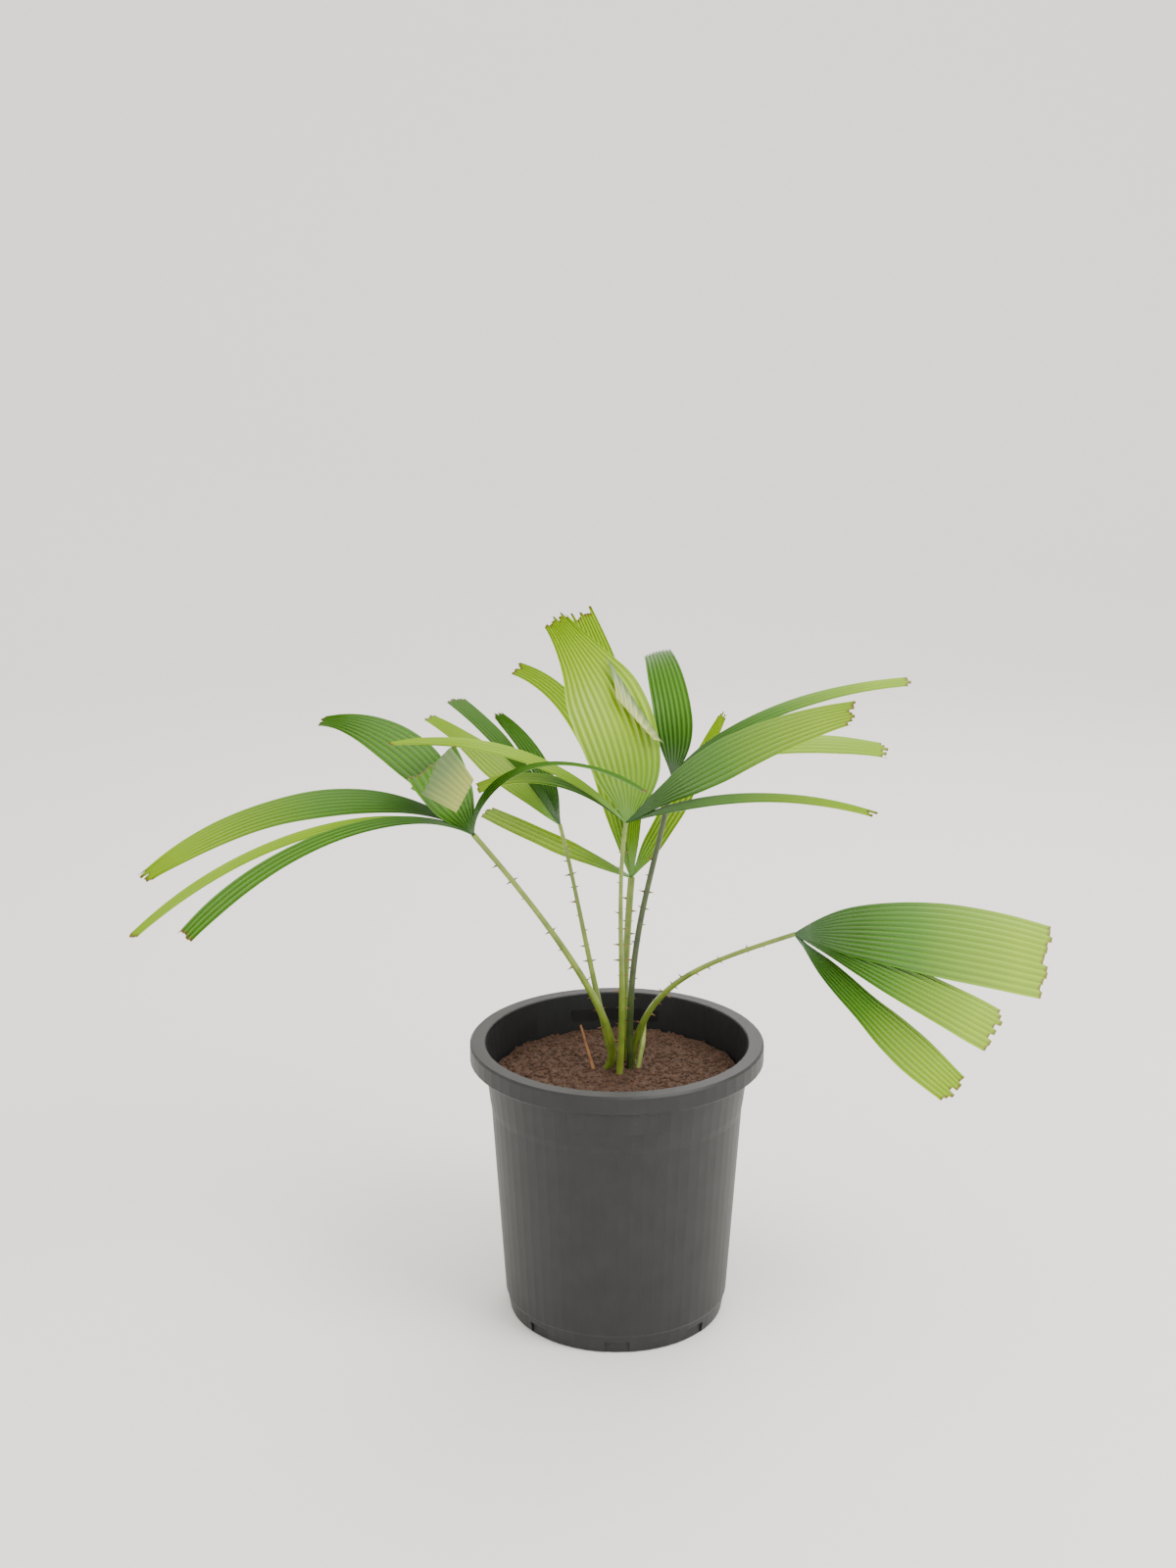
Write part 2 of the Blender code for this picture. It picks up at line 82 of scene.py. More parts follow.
SEGMENTS = [
    leaf("left", "a1", heading=-171.4, turn=1.0, rise=47.1, droop=84.3, ease=0.60, length=344 * MM,
         faces=(-90, 55), tip_faces=(-90, 50), pleats=4,
         half_widths=(2.7, 7.6, 14, 17, 15, 14, 11, 6.4)),
    leaf("left", "a2", heading=-161.1, turn=-10.0, rise=35.7, droop=79.4, ease=0.60, length=369 * MM,
         faces=(-90, 60), tip_faces=(-90, 60), pleats=2,
         half_widths=(2.0, 4.0, 5.5, 6.0, 6.0, 6.0, 5.0, 4.0)),
    leaf("left", "a3", heading=-149.8, turn=-17.2, rise=41.7, droop=89.0, ease=0.60, length=324 * MM,
         faces=(-90, 55), tip_faces=(-90, 35), pleats=2,
         half_widths=(2.5, 4.0, 6.0, 7.0, 8.0, 9.0, 9.0, 7.5)),
    leaf("left", "a4", heading=148.9, turn=-1.8, rise=54.2, droop=67.4, ease=1.32, length=221 * MM,
         faces=(-80, 45), tip_faces=(-80, 45), pleats=4,
         half_widths=(5.8, 12, 20, 24, 22, 16, 9.6, 5.0)),
    leaf("left", "a5", heading=-140.5, turn=-0.0, rise=60.1, droop=0.7, ease=0.99, length=93 * MM,
         faces=(-70, 10), tip_faces=(-70, 10), pleats=4,
         half_widths=(4.5, 10, 16, 22, 25, 27, 28, 28)),
    leaf("left", "a6", heading=-27.3, turn=7.8, rise=99.7, droop=130.9, ease=0.62, length=229 * MM,
         faces=(-60, 20), tip_faces=(-90, 75), pleats=2,
         half_widths=(2.5, 4.0, 4.0, 3.2, 2.2, 2.0, 3.0, 2.0)),
    leaf("front", "b1", heading=180.0, turn=-0.1, rise=48.3, droop=58.0, ease=0.92, length=257 * MM,
         faces=(-90, 50), tip_faces=(-90, 65), pleats=2,
         half_widths=(2.5, 4.0, 5.5, 7.0, 7.5, 6.0, 4.5, 2.0)),
    leaf("front", "b2", heading=173.0, turn=2.4, rise=44.2, droop=72.9, ease=1.16, length=162 * MM,
         faces=(-80, 50), tip_faces=(-90, 60), pleats=2,
         half_widths=(2.5, 4.0, 5.0, 6.0, 6.5, 6.5, 7.0, 7.0)),
    leaf("front", "b3", heading=-14.3, turn=-0.3, rise=40.0, droop=25.8, ease=1.37, length=255 * MM,
         faces=(-110, 45), tip_faces=(-100, 50), pleats=4,
         half_widths=(5.7, 10, 19, 24, 22, 19, 16, 13)),
    leaf("front", "b4", heading=-22.6, turn=0.3, rise=24.4, droop=35.9, ease=1.16, length=256 * MM,
         faces=(-100, 60), tip_faces=(-90, 65), pleats=2,
         half_widths=(3.0, 5.5, 7.0, 7.0, 6.0, 5.5, 4.5, 3.5)),
    leaf("front", "b5", heading=156.1, turn=-19.0, rise=109.8, droop=71.8, ease=0.60, length=223 * MM,
         faces=(-90, 10), tip_faces=(-85, 30), pleats=6,
         half_widths=(15, 30, 36, 39, 37, 24, 16, 12)),
    leaf("inner", "d1", heading=149.7, turn=2.8, rise=77.4, droop=69.6, ease=2.20, length=261 * MM,
         faces=(-85, 15), tip_faces=(-80, 40), pleats=3,
         half_widths=(5.2, 10, 14, 13, 13, 11, 9.5, 7.7)),
    leaf("inner", "d2", heading=133.8, turn=-0.3, rise=96.1, droop=44.4, ease=1.02, length=284 * MM,
         faces=(-90, 5), tip_faces=(-90, 25), pleats=4,
         half_widths=(3.8, 7.6, 11, 14, 16, 14, 12, 11)),
    leaf("inner", "d4", heading=148.1, turn=-0.0, rise=13.1, droop=-0.5, ease=1.00, length=185 * MM,
         faces=(-60, 50), tip_faces=(-60, 50), pleats=2,
         half_widths=(4.0, 6.8, 9.5, 13, 12, 12, 11, 9.6)),
    leaf("inner", "d5", heading=44.6, turn=-1.3, rise=39.9, droop=-12.6, ease=0.60, length=204 * MM,
         faces=(-100, 10), tip_faces=(-110, 20), pleats=3,
         half_widths=(4.2, 10, 11, 13, 11, 7.3, 6.0, 4.0)),
    leaf("right", "e1", heading=117.7, turn=-25.5, rise=110.0, droop=122.1, ease=1.03, length=171 * MM,
         faces=(-90, 10), tip_faces=(-90, 20), pleats=4,
         half_widths=(7.7, 15, 19, 19, 18, 16, 14, 14)),
    leaf("right", "e3", heading=16.5, turn=-1.0, rise=45.4, droop=45.2, ease=0.62, length=273 * MM,
         faces=(-110, 50), tip_faces=(-100, 60), pleats=2,
         half_widths=(3.6, 5.9, 6.9, 7.6, 7.8, 7.0, 6.8, 6.7)),
    leaf("right", "e4", heading=8.2, turn=-0.9, rise=30.3, droop=43.7, ease=0.69, length=227 * MM,
         faces=(-100, 60), tip_faces=(-90, 60), pleats=3,
         half_widths=(4.3, 8.3, 11, 12, 13, 13, 11, 10)),
    leaf("back", "f1", heading=137.7, turn=-4.0, rise=29.2, droop=20.7, ease=1.68, length=217 * MM,
         faces=(-60, 40), tip_faces=(-60, 50), pleats=4,
         half_widths=(5.7, 10, 16, 20, 16, 11, 8.6, 6.7)),
    leaf("back", "f2", heading=123.4, turn=-0.4, rise=40.5, droop=30.0, ease=0.67, length=235 * MM,
         faces=(-70, 35), tip_faces=(-70, 50), pleats=3,
         half_widths=(2.8, 4.7, 5.5, 7.3, 10, 9.7, 9.9, 10)),
    leaf("back", "f3", heading=99.9, turn=25.6, rise=33.2, droop=17.8, ease=0.60, length=202 * MM,
         faces=(-80, 25), tip_faces=(-80, 45), pleats=3,
         half_widths=(2.5, 6.2, 8.8, 10, 9.8, 9.0, 7.5, 5.2)),
    leaf("low", "g1", heading=-1.5, turn=2.9, rise=9.8, droop=26.3, ease=0.60, length=256 * MM,
         faces=(-90, 40), tip_faces=(-80, 45), pleats=6,
         half_widths=(12, 24, 31, 37, 41, 42, 42, 41)),
    leaf("low", "g2", heading=-15.5, turn=2.2, rise=-15.8, droop=10.9, ease=0.60, length=218 * MM,
         faces=(-85, 40), tip_faces=(-75, 45), pleats=4,
         half_widths=(4.0, 8.0, 13, 18, 21, 23, 25, 25)),
    leaf("low", "g3", heading=-23.3, turn=-2.3, rise=-45.2, droop=-9.9, ease=0.60, length=218 * MM,
         faces=(-90, 35), tip_faces=(-80, 35), pleats=4,
         half_widths=(2.7, 8.7, 12, 14, 19, 21, 19, 17)),]

# Folded flaps: frond, fold line ends, free edge ends (mm)
FLAPS = (
    ("left", (-199, -75, 580), (-160, -80, 622), (-137, -94, 594), (-154, -98, 563)),
    ("front", (43, -41, 616), (-12, -20, 697), (-2, -38, 660), (34, -51, 622)),
)

# How each segment is coloured, from painted shade to painted sunlight
TONES = {"a3": 0, "a4": 0, "a5": 0, "a6": 0, "e1": 0, "f2": 0, "f3": 0, "b3": 1, "a1": 1, "a2": 2,
         "b5": 2, "d1": 2, "d2": 2, "d4": 2, "d5": 2, "f1": 2, "b1": 2, "b2": 1, "e4": 2}


class PalmSizes(bpy.types.PropertyGroup):
    pleat_depth: bpy.props.FloatProperty(
        name="Pleat depth", description="Height of a pleat in a blade", default=1.1 * MM, unit="LENGTH")
    blade_thickness: bpy.props.FloatProperty(
        name="Blade thickness", description="Thickness of a blade", default=0.7 * MM, unit="LENGTH")
    crumb_count: bpy.props.IntProperty(
        name="Crumbs", description="How many crumbs lie on the soil", default=2600, min=1)
    crumb_radius: bpy.props.FloatProperty(
        name="Crumb radius", description="Radius of a large crumb", default=2.6 * MM, unit="LENGTH")
    spine_length: bpy.props.FloatProperty(
        name="Spine length", description="Length of a spine on a petiole", default=7 * MM, unit="LENGTH")
    seed: bpy.props.IntProperty(name="Seed", description="Fixed seed of what is strewn", default=7)


class PalmColours(bpy.types.PropertyGroup):
    shade: bpy.props.FloatVectorProperty(
        name="Shaded leaf", description="Leaf green near a hub", subtype="COLOR", default=(0.012, 0.065, 0.005))
    middle: bpy.props.FloatVectorProperty(
        name="Middle leaf", description="Leaf green of a lit blade", subtype="COLOR", default=(0.085, 0.25, 0.006))
    bright: bpy.props.FloatVectorProperty(
        name="Bright leaf", description="Yellow green of a tip", subtype="COLOR", default=(0.34, 0.55, 0.010))
    pot: bpy.props.FloatVectorProperty(
        name="Pot", description="Moulded black plastic", subtype="COLOR", default=(0.0035, 0.0038, 0.0042))
    soil: bpy.props.FloatVectorProperty(
        name="Soil", description="Damp potting mix", subtype="COLOR", default=(0.035, 0.016, 0.008))


def new_material(name, roughness=0.5, coat=0.0):
    """A Principled material with its shader and link helper."""
    mat = bpy.data.materials.new(name)
    mat.use_nodes = True
    nodes = mat.node_tree.nodes
    shader = nodes["Principled BSDF"]
    shader.inputs["Roughness"].default_value = roughness
    shader.inputs["Coat Weight"].default_value = coat
    return mat, nodes, mat.node_tree.links, shader


def ramp(nodes, stops):
    node = nodes.new("ShaderNodeValToRGB")
    while len(node.color_ramp.elements) < len(stops):
        node.color_ramp.elements.new(0.5)
    for element, (place, colour) in zip(node.color_ramp.elements, stops):
        element.position = place
        element.color = (*colour, 1)
    return node


def noise_bump(nodes, links, shader, vector, scale, strength, distance):
    """Relief of a noise on the given coordinates."""
    noise = nodes.new("ShaderNodeTexNoise")
    noise.inputs["Scale"].default_value = scale
    noise.inputs["Detail"].default_value = 6
    bump = nodes.new("ShaderNodeBump")
    bump.inputs["Strength"].default_value = strength
    bump.inputs["Distance"].default_value = distance
    links.new(vector, noise.inputs["Vector"])
    links.new(noise.outputs["Fac"], bump.inputs["Height"])
    links.new(bump.outputs["Normal"], shader.inputs["Normal"])
    return noise


def mixed(name, colour, other, scale, roughness, strength, distance, coat=0.0):
    """Two tones mottled by a noise on Object coordinates, with relief."""
    mat, nodes, links, shader = new_material(name, roughness, coat)
    place = nodes.new("ShaderNodeTexCoord").outputs["Object"]
    noise = noise_bump(nodes, links, shader, place, scale, strength, distance)
    tones = ramp(nodes, ((0.3, colour), (0.7, other)))
    links.new(noise.outputs["Fac"], tones.inputs["Fac"])
    links.new(tones.outputs["Color"], shader.inputs["Base Color"])
    return mat


def leaf_material(name, foot, middle, tip):
    """Green that lightens toward the tip, with painted shade toward the hub and in the pleat valleys between the
    paler rib lines, and a dry cut edge.
    """
    mat, nodes, links, shader = new_material(name, 0.33, 0.25)
    shader.inputs["Coat Roughness"].default_value = 0.22
    uv = nodes.new("ShaderNodeUVMap")
    uv.uv_map = "blade"
    split = nodes.new("ShaderNodeSeparateXYZ")
    links.new(uv.outputs["UV"], split.inputs["Vector"])
    dry = (0.20, 0.10, 0.02)
    # Painted shade: the foot stop darkens the blade toward the hub; the dry stop is the cut edge's own colour.
    along = ramp(nodes, ((0.0, foot), (0.45, middle), (0.88, tip), (0.982, tip), (1.0, dry)))
    links.new(split.outputs["Y"], along.inputs["Fac"])
    streak = nodes.new("ShaderNodeTexNoise")
    streak.inputs["Scale"].default_value = 3.0
    stretch = nodes.new("ShaderNodeMapping")
    stretch.inputs["Scale"].default_value = (9, 0.8, 1)
    links.new(uv.outputs["UV"], stretch.inputs["Vector"])
    links.new(stretch.outputs["Vector"], streak.inputs["Vector"])
    # Painted shade in the pleat valleys: the blade darkens away from each ridge; the faint yellow rib line on the
    # ridge is the leaf's own colour.
    ribs = nodes.new("ShaderNodeMath")
    ribs.operation = "PINGPONG"
    ribs.inputs[1].default_value = 0.5
    links.new(split.outputs["X"], ribs.inputs[0])
    rib_tint_and_crease_shade = ramp(nodes, ((0.0, (0.9, 1.0, 0.6)), (0.12, (0.62, 0.62, 0.62)), (0.5, (0.36, 0.36, 0.36))))
    links.new(ribs.outputs["Value"], rib_tint_and_crease_shade.inputs["Fac"])
    shade = nodes.new("ShaderNodeMix")
    shade.data_type = "RGBA"
    shade.blend_type = "MULTIPLY"
    shade.inputs["Factor"].default_value = 0.55
    links.new(along.outputs["Color"], shade.inputs["A"])
    links.new(rib_tint_and_crease_shade.outputs["Color"], shade.inputs["B"])
    vary = nodes.new("ShaderNodeMix")
    vary.data_type = "RGBA"
    vary.blend_type = "OVERLAY"
    vary.inputs["Factor"].default_value = 0.35
    links.new(shade.outputs["Result"], vary.inputs["A"])
    links.new(streak.outputs["Fac"], vary.inputs["B"])
    links.new(vary.outputs["Result"], shader.inputs["Base Color"])
    bump = nodes.new("ShaderNodeBump")
    bump.inputs["Strength"].default_value = 0.3
    bump.inputs["Distance"].default_value = 0.4 * MM
    links.new(streak.outputs["Fac"], bump.inputs["Height"])
    links.new(bump.outputs["Normal"], shader.inputs["Normal"])
    return mat


def finish_piece(name, verts, faces, mats, nodes=(), uvs=None, tones=None):
    """Make the mesh, shade it, and give it to the frame."""
    mesh = bpy.data.meshes.new(name)
    mesh.from_pydata([tuple(v) for v in verts], [], faces)
    if uvs is not None:
        layer = mesh.uv_layers.new(name="blade")
        for loop in mesh.loops:
            layer.data[loop.index].uv = uvs[loop.vertex_index]
    for mat in mats:
        mesh.materials.append(mat)
    if tones is not None:
        mesh.polygons.foreach_set("material_index", tones)
    work = bmesh.new()
    work.from_mesh(mesh)
    bmesh.ops.recalc_face_normals(work, faces=work.faces)
    work.to_mesh(mesh)
    work.free()
    mesh.shade_smooth()
    mesh.set_sharp_from_angle(angle=math.radians(50))
    obj = bpy.data.objects.new(name, mesh)
    bpy.context.scene.collection.objects.link(obj)
    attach(obj, "root")
    if nodes:
        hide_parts(*nodes)
    return obj


def direction(angles):
    azimuth, height = (math.radians(a) for a in angles)
    level = math.cos(height)
    return Vector((level * math.cos(azimuth), level * math.sin(azimuth), math.sin(height)))


def hub_of(frond):
    return Vector(PETIOLES[frond][3]) * MM


def blade_frames(part):
    """Centre, side, normal and fraction at even places from the hub to the tip."""
    fine = 3
    total = BLADE_ROWS * fine
    step = part["length"] / total
    spot = hub_of(part["frond"])
    frames = []
    for i in range(total + 1):
        s = i / total
        heading = math.radians(part["heading"] + part["turn"] * s)
        rise = math.radians(part["rise"] - part["droop"] * s ** part["ease"])
        tangent = Vector((math.cos(rise) * math.cos(heading), math.cos(rise) * math.sin(heading), math.sin(rise)))
        if i % fine == 0:
            face = direction(part["faces"]).lerp(direction(part["tip_faces"]), s)
            side = tangent.cross(face).normalized()
            frames.append((spot.copy(), side, side.cross(tangent).normalized(), s, tangent))
        spot += tangent * step
    return frames


def smooth_width(part, s):
    """Half width at a fraction, rounded between its stations."""
    window = np.linspace(-0.05, 0.05, 7)
    places = np.clip(s + window * min(1, s * 8), 0, 1)
    return float(np.mean(np.interp(places, (0,) + WIDTH_STATIONS, (1.2,) + part["half_widths"]))) * MM


def shell(grid_tops, grid_bottoms, width, rows, shift):
    """Faces of a closed sheet from two grids of points."""
    faces = []
    lower = len(grid_tops)
    for i in range(rows - 1):
        for j in range(width - 1):
            a = i * width + j
            quad = [a, a + 1, a + width + 1, a + width]
            faces.append([v + shift for v in quad])
            faces.append([v + shift + lower for v in reversed(quad)])
    border = list(range(width))
    border += [i * width + width - 1 for i in range(1, rows)]
    border += [(rows - 1) * width + j for j in range(width - 2, -1, -1)]
    border += [i * width for i in range(rows - 2, 0, -1)]
    for a, b in zip(border, border[1:] + border[:1]):
        faces.append([a + shift, b + shift, b + lower + shift, a + lower + shift])
    return faces


def blade(part, sizes, shift):
    """Points, faces and UVs of one pleated segment with a ragged cut tip."""
    pleats = part["pleats"] * 2
    columns = pleats * COLUMNS_PER_PLEAT
    tops, bottoms, uvs = [], [], []
    rng = np.random.default_rng(sum(map(ord, part["name"])))
    cuts = rng.uniform(0, 0.035, pleats + 1)
    for centre, side, normal, s, tangent in blade_frames(part):
        half = smooth_width(part, s)
        for j in range(columns + 1):
            u = 2 * j / columns - 1
            phase = j / COLUMNS_PER_PLEAT
            fold = abs(phase % 1 - 0.5) * 4 - 1
            depth = min(sizes.pleat_depth, half * 0.5 / part["pleats"])
            lift = fold * depth * min(1, s * 4) - 0.12 * half * u * u
            spot = centre + side * (u * half) + normal * lift
            late = max(0, (s - 0.86) / 0.14)
            spot -= tangent * (late * cuts[int(phase)] * part["length"])
            edge = sizes.blade_thickness / 2
            tops.append(spot + normal * edge)
            bottoms.append(spot - normal * edge)
            uvs.append((phase, s))
    return tops + bottoms, shell(tops, bottoms, columns + 1, BLADE_ROWS + 1, shift), uvs + uvs


def flap(corners, sizes, shift, rows=20, columns=32):
    """A folded-over piece of blade that bulges a little, with its ribs running from the fold."""
    a, b, c, d = (Vector(corner) * MM for corner in corners)
    normal = (b - a).cross(d - a).normalized()
    tops, bottoms, uvs = [], [], []
    for i in range(rows + 1):
        t = i / rows
        for j in range(columns + 1):
            u = j / columns
            spot = a.lerp(b, u).lerp(d.lerp(c, u), t)
            phase = u * columns / COLUMNS_PER_PLEAT
            fold = abs(phase % 1 - 0.5) * 4 - 1
            spot += normal * (fold * 0.4 * MM + math.sin(math.pi * t) * 1.5 * MM)
            tops.append(spot + normal * sizes.blade_thickness / 2)
            bottoms.append(spot - normal * sizes.blade_thickness / 2)
            uvs.append((phase, 0.25 + 0.7 * t))
    return tops + bottoms, shell(tops, bottoms, columns + 1, rows + 1, shift), uvs + uvs


def petiole_path(frond, count=48):
    """Centre, tangent and radius along a petiole."""
    foot, pull, push, hub, foot_radius, hub_radius = PETIOLES[frond]
    start = Vector(foot) * MM
    start.z = SOIL_HEIGHT
    end = Vector(hub) * MM
    near = start + Vector(pull) * MM
    far = end + Vector(push) * MM
    path = []
    for i in range(count + 1):
        t = i / count
        u = 1 - t
        spot = u ** 3 * start + 3 * u * u * t * near + 3 * u * t * t * far + t ** 3 * end
        slope = u * u * (near - start) + 2 * u * t * (far - near) + t * t * (end - far)
        radius = (foot_radius + (hub_radius - foot_radius) * min(1, t * 1.4)) * MM
        path.append((spot, slope.normalized(), radius))
    return path


def tube(path, sides=14, groove=0.22):
    """A grooved limb along a path, closed at both ends."""
    verts, faces, uvs = [], [], []
    for i, (spot, tangent, radius) in enumerate(path):
        side = tangent.cross(Vector((0, 1, 0))).normalized()
        other = tangent.cross(side)
        for k in range(sides):
            angle = math.tau * k / sides
            reach = radius * (1 - groove * max(0, math.cos(angle)) ** 6)
            verts.append(spot + reach * (math.cos(angle) * side + math.sin(angle) * other))
            uvs.append((k / sides, i / (len(path) - 1)))
    for i in range(len(path) - 1):
        for k in range(sides):
            j = (k + 1) % sides
            faces.append([i * sides + k, i * sides + j, (i + 1) * sides + j, (i + 1) * sides + k])
    faces.append(list(range(sides)))
    faces.append(list(range((len(path) - 1) * sides, len(path) * sides)))
    return verts, faces, uvs


def scatter_tree(name, mat, strew):
    """Instances of a small solid on a mesh's points or faces, made real, with a material."""
    tree = bpy.data.node_groups.new(name, "GeometryNodeTree")
    face = tree.interface
    face.new_socket("Geometry", in_out="INPUT", socket_type="NodeSocketGeometry")
    face.new_socket("Count", in_out="INPUT", socket_type="NodeSocketFloat")
    face.new_socket("Size", in_out="INPUT", socket_type="NodeSocketFloat")
    face.new_socket("Seed", in_out="INPUT", socket_type="NodeSocketInt")
    face.new_socket("Geometry", in_out="OUTPUT", socket_type="NodeSocketGeometry")
    nodes, links = tree.nodes, tree.links
    source = nodes.new("NodeGroupInput")
    result = nodes.new("NodeGroupOutput")
    place = nodes.new("GeometryNodeInstanceOnPoints")
    real = nodes.new("GeometryNodeRealizeInstances")
    paint = nodes.new("GeometryNodeSetMaterial")
    paint.inputs["Material"].default_value = mat
    size = nodes.new("FunctionNodeRandomValue")
    links.new(source.outputs["Seed"], size.inputs["Seed"])
    links.new(source.outputs["Size"], size.inputs[3])
    if strew:
        points = nodes.new("GeometryNodeDistributePointsOnFaces")
        links.new(source.outputs["Geometry"], points.inputs["Mesh"])
        links.new(source.outputs["Count"], points.inputs["Density"])
        links.new(source.outputs["Seed"], points.inputs["Seed"])
        solid = nodes.new("GeometryNodeMeshIcoSphere")
        solid.inputs["Radius"].default_value = 1.0
        solid.inputs["Subdivisions"].default_value = 1
        turn = nodes.new("FunctionNodeRandomValue")
        turn.data_type = "FLOAT_VECTOR"
        turn.inputs[1].default_value = (6.28, 6.28, 6.28)
        links.new(points.outputs["Points"], place.inputs["Points"])
        links.new(turn.outputs[0], place.inputs["Rotation"])
        size.inputs[2].default_value = 0.5 * MM
    else:
        solid = nodes.new("GeometryNodeMeshCone")
        solid.inputs["Vertices"].default_value = 6
        solid.inputs["Radius Bottom"].default_value = 0.2
        solid.inputs["Depth"].default_value = 1.0
        aim = nodes.new("GeometryNodeInputNamedAttribute")
        aim.data_type = "FLOAT_VECTOR"
        aim.inputs["Name"].default_value = "aim"
        turn = nodes.new("FunctionNodeAlignRotationToVector")
        turn.axis = "Z"
        links.new(aim.outputs["Attribute"], turn.inputs["Vector"])
        links.new(source.outputs["Geometry"], place.inputs["Points"])
        links.new(turn.outputs["Rotation"], place.inputs["Rotation"])
        size.inputs[2].default_value = 2.5 * MM
    links.new(solid.outputs["Mesh"], place.inputs["Instance"])
    links.new(size.outputs[1], place.inputs["Scale"])
    links.new(place.outputs["Instances"], real.inputs["Geometry"])
    links.new(real.outputs["Geometry"], paint.inputs["Geometry"])
    links.new(paint.outputs["Geometry"], result.inputs["Geometry"])
    return tree


def scattered(name, mesh, tree, count, size, seed):
    """Run a scatter tree on a mesh and keep the result as a plain mesh."""
    obj = bpy.data.objects.new(name, mesh)
    bpy.context.scene.collection.objects.link(obj)
    modifier = obj.modifiers.new("scatter", "NODES")
    modifier.node_group = tree
    values = {"Count": float(count), "Size": size, "Seed": seed}
    for item in tree.interface.items_tree:
        if item.in_out == "INPUT" and item.name in values:
            modifier[item.identifier] = values[item.name]
    bpy.context.view_layer.update()
    graph = bpy.context.evaluated_depsgraph_get()
    result = bpy.data.meshes.new_from_object(obj.evaluated_get(graph))
    obj.modifiers.remove(modifier)
    obj.data = result
    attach(obj, "root")
    return obj


def soil_height(x, y, rng_waves):
    """Bumpy level of the soil."""
    rise = SOIL_HEIGHT - 0.0035 * (math.hypot(x, y) / SOIL_RADIUS) ** 2
    return rise + sum(a * math.sin(k * x + m * y + p) for a, k, m, p in rng_waves)


class PALM_OT_fronds(bpy.types.Operator):
    """Pleated blades of the six fronds"""
    bl_idname = "palm.fronds"
    bl_label = "Fronds"

    def execute(self, context):
        sizes, tints = context.scene.palm_sizes, context.scene.palm_colours
        shade, middle, bright = tuple(tints.shade), tuple(tints.middle), tuple(tints.bright)
        # Painted shade and painted light: the first three are one leaf green in shaded, lit and sunlit copies; the
        # underside is the leaf's own colour.
        mats = [leaf_material("leaf_shaded", shade, middle, middle),
                leaf_material("leaf_lit", shade, middle, bright),
                leaf_material("leaf_sunlit", middle, bright, bright),
                leaf_material("leaf_underside", (0.10, 0.18, 0.05), (0.16, 0.26, 0.07), (0.42, 0.48, 0.08))]
        for frond in PETIOLES:
            verts, faces, uvs, tones = [], [], [], []
            for part in SEGMENTS:
                if part["frond"] == frond:
                    points, quads, coords = blade(part, sizes, len(verts))
                    verts += points
                    faces += quads
                    uvs += coords
                    tones += [TONES.get(part["name"], 1)] * len(quads)
            for piece in FLAPS:
                if piece[0] == frond:
                    points, quads, coords = flap(piece[1:], sizes, len(verts))
                    verts += points
                    faces += quads
                    uvs += coords
                    tones += [3] * len(quads)
            finish_piece("leaf_" + frond, verts, faces, mats, ["frond_" + frond], uvs, tones)
        return {"FINISHED"}


class PALM_OT_petioles(bpy.types.Operator):
    """Grooved petioles with their spines, the stem, the spear and the dry stub"""
    bl_idname = "palm.petioles"
    bl_label = "Petioles"

    def execute(self, context):
        sizes = context.scene.palm_sizes
        # Painted shade: the second, darker copy of the petiole green goes on the right petiole, standing in for
        # the shade on it.
        light = mixed("petiole_light", (0.10, 0.16, 0.015), (0.20, 0.27, 0.03), 60, 0.4, 0.3, 0.5 * MM, 0.2)
        painted_shade_petiole = mixed("petiole_painted_shade", (0.02, 0.035, 0.006), (0.05, 0.08, 0.012), 60, 0.4, 0.3, 0.5 * MM, 0.2)
        thorn = mixed("spine", (0.10, 0.045, 0.012), (0.24, 0.13, 0.04), 400, 0.5, 0.2, 0.2 * MM)
        rng = np.random.default_rng(sizes.seed)
        spots, aims = [], []
        for frond in PETIOLES:
            path = petiole_path(frond)
            verts, faces, uvs = tube(path)
            mat = painted_shade_petiole if frond == "right" else light
            finish_piece("stalk_" + frond, verts, faces, [mat], ["petiole_" + frond], uvs)
            for i in range(6, len(path) - 5, 3):
                spot, tangent, radius = path[i]
                for sign in (-1, 1):
                    if rng.random() < 0.3:
                        continue
                    side = tangent.cross(Vector((0, 1, 0))).normalized() * sign
                    aim = (side + tangent * rng.uniform(-0.1, 0.4)).normalized()
                    spots.append(spot + aim * radius * 0.7)
                    aims.append(aim)
        mesh = bpy.data.meshes.new("spine_spots")
        mesh.from_pydata([tuple(s) for s in spots], [], [])
        layer = mesh.attributes.new("aim", "FLOAT_VECTOR", "POINT")
        layer.data.foreach_set("vector", [c for aim in aims for c in aim])
        tree = scatter_tree("spines", thorn, False)
        scattered("spines", mesh, tree, 1, sizes.spine_length, sizes.seed)
        fibre = mixed("fibre", (0.09, 0.035, 0.015), (0.24, 0.12, 0.05), 220, 0.8, 0.9, 1.5 * MM)
        straw = mixed("straw", (0.22, 0.08, 0.03), (0.36, 0.18, 0.07), 150, 0.7, 0.5, 0.6 * MM)
        young = mixed("young_spear", (0.22, 0.32, 0.06), (0.38, 0.45, 0.12), 90, 0.45, 0.3, 0.4 * MM)
        for node, mat in (("stem", fibre), ("dry_stub", straw), ("spear", young)):
            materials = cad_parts[node].data.materials
            materials.clear()
            materials.append(mat)
        return {"FINISHED"}


class PALM_OT_pot(bpy.types.Operator):
    """Matte black plastic of the pot"""
    bl_idname = "palm.pot"
    bl_label = "Pot"

    def execute(self, context):
        colour = tuple(context.scene.palm_colours.pot)
        paler = tuple(2.2 * c for c in colour)
        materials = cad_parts["pot"].data.materials
        materials.clear()
        materials.append(mixed("black_plastic", colour, paler, 35, 0.5, 0.12, 0.3 * MM))
        return {"FINISHED"}


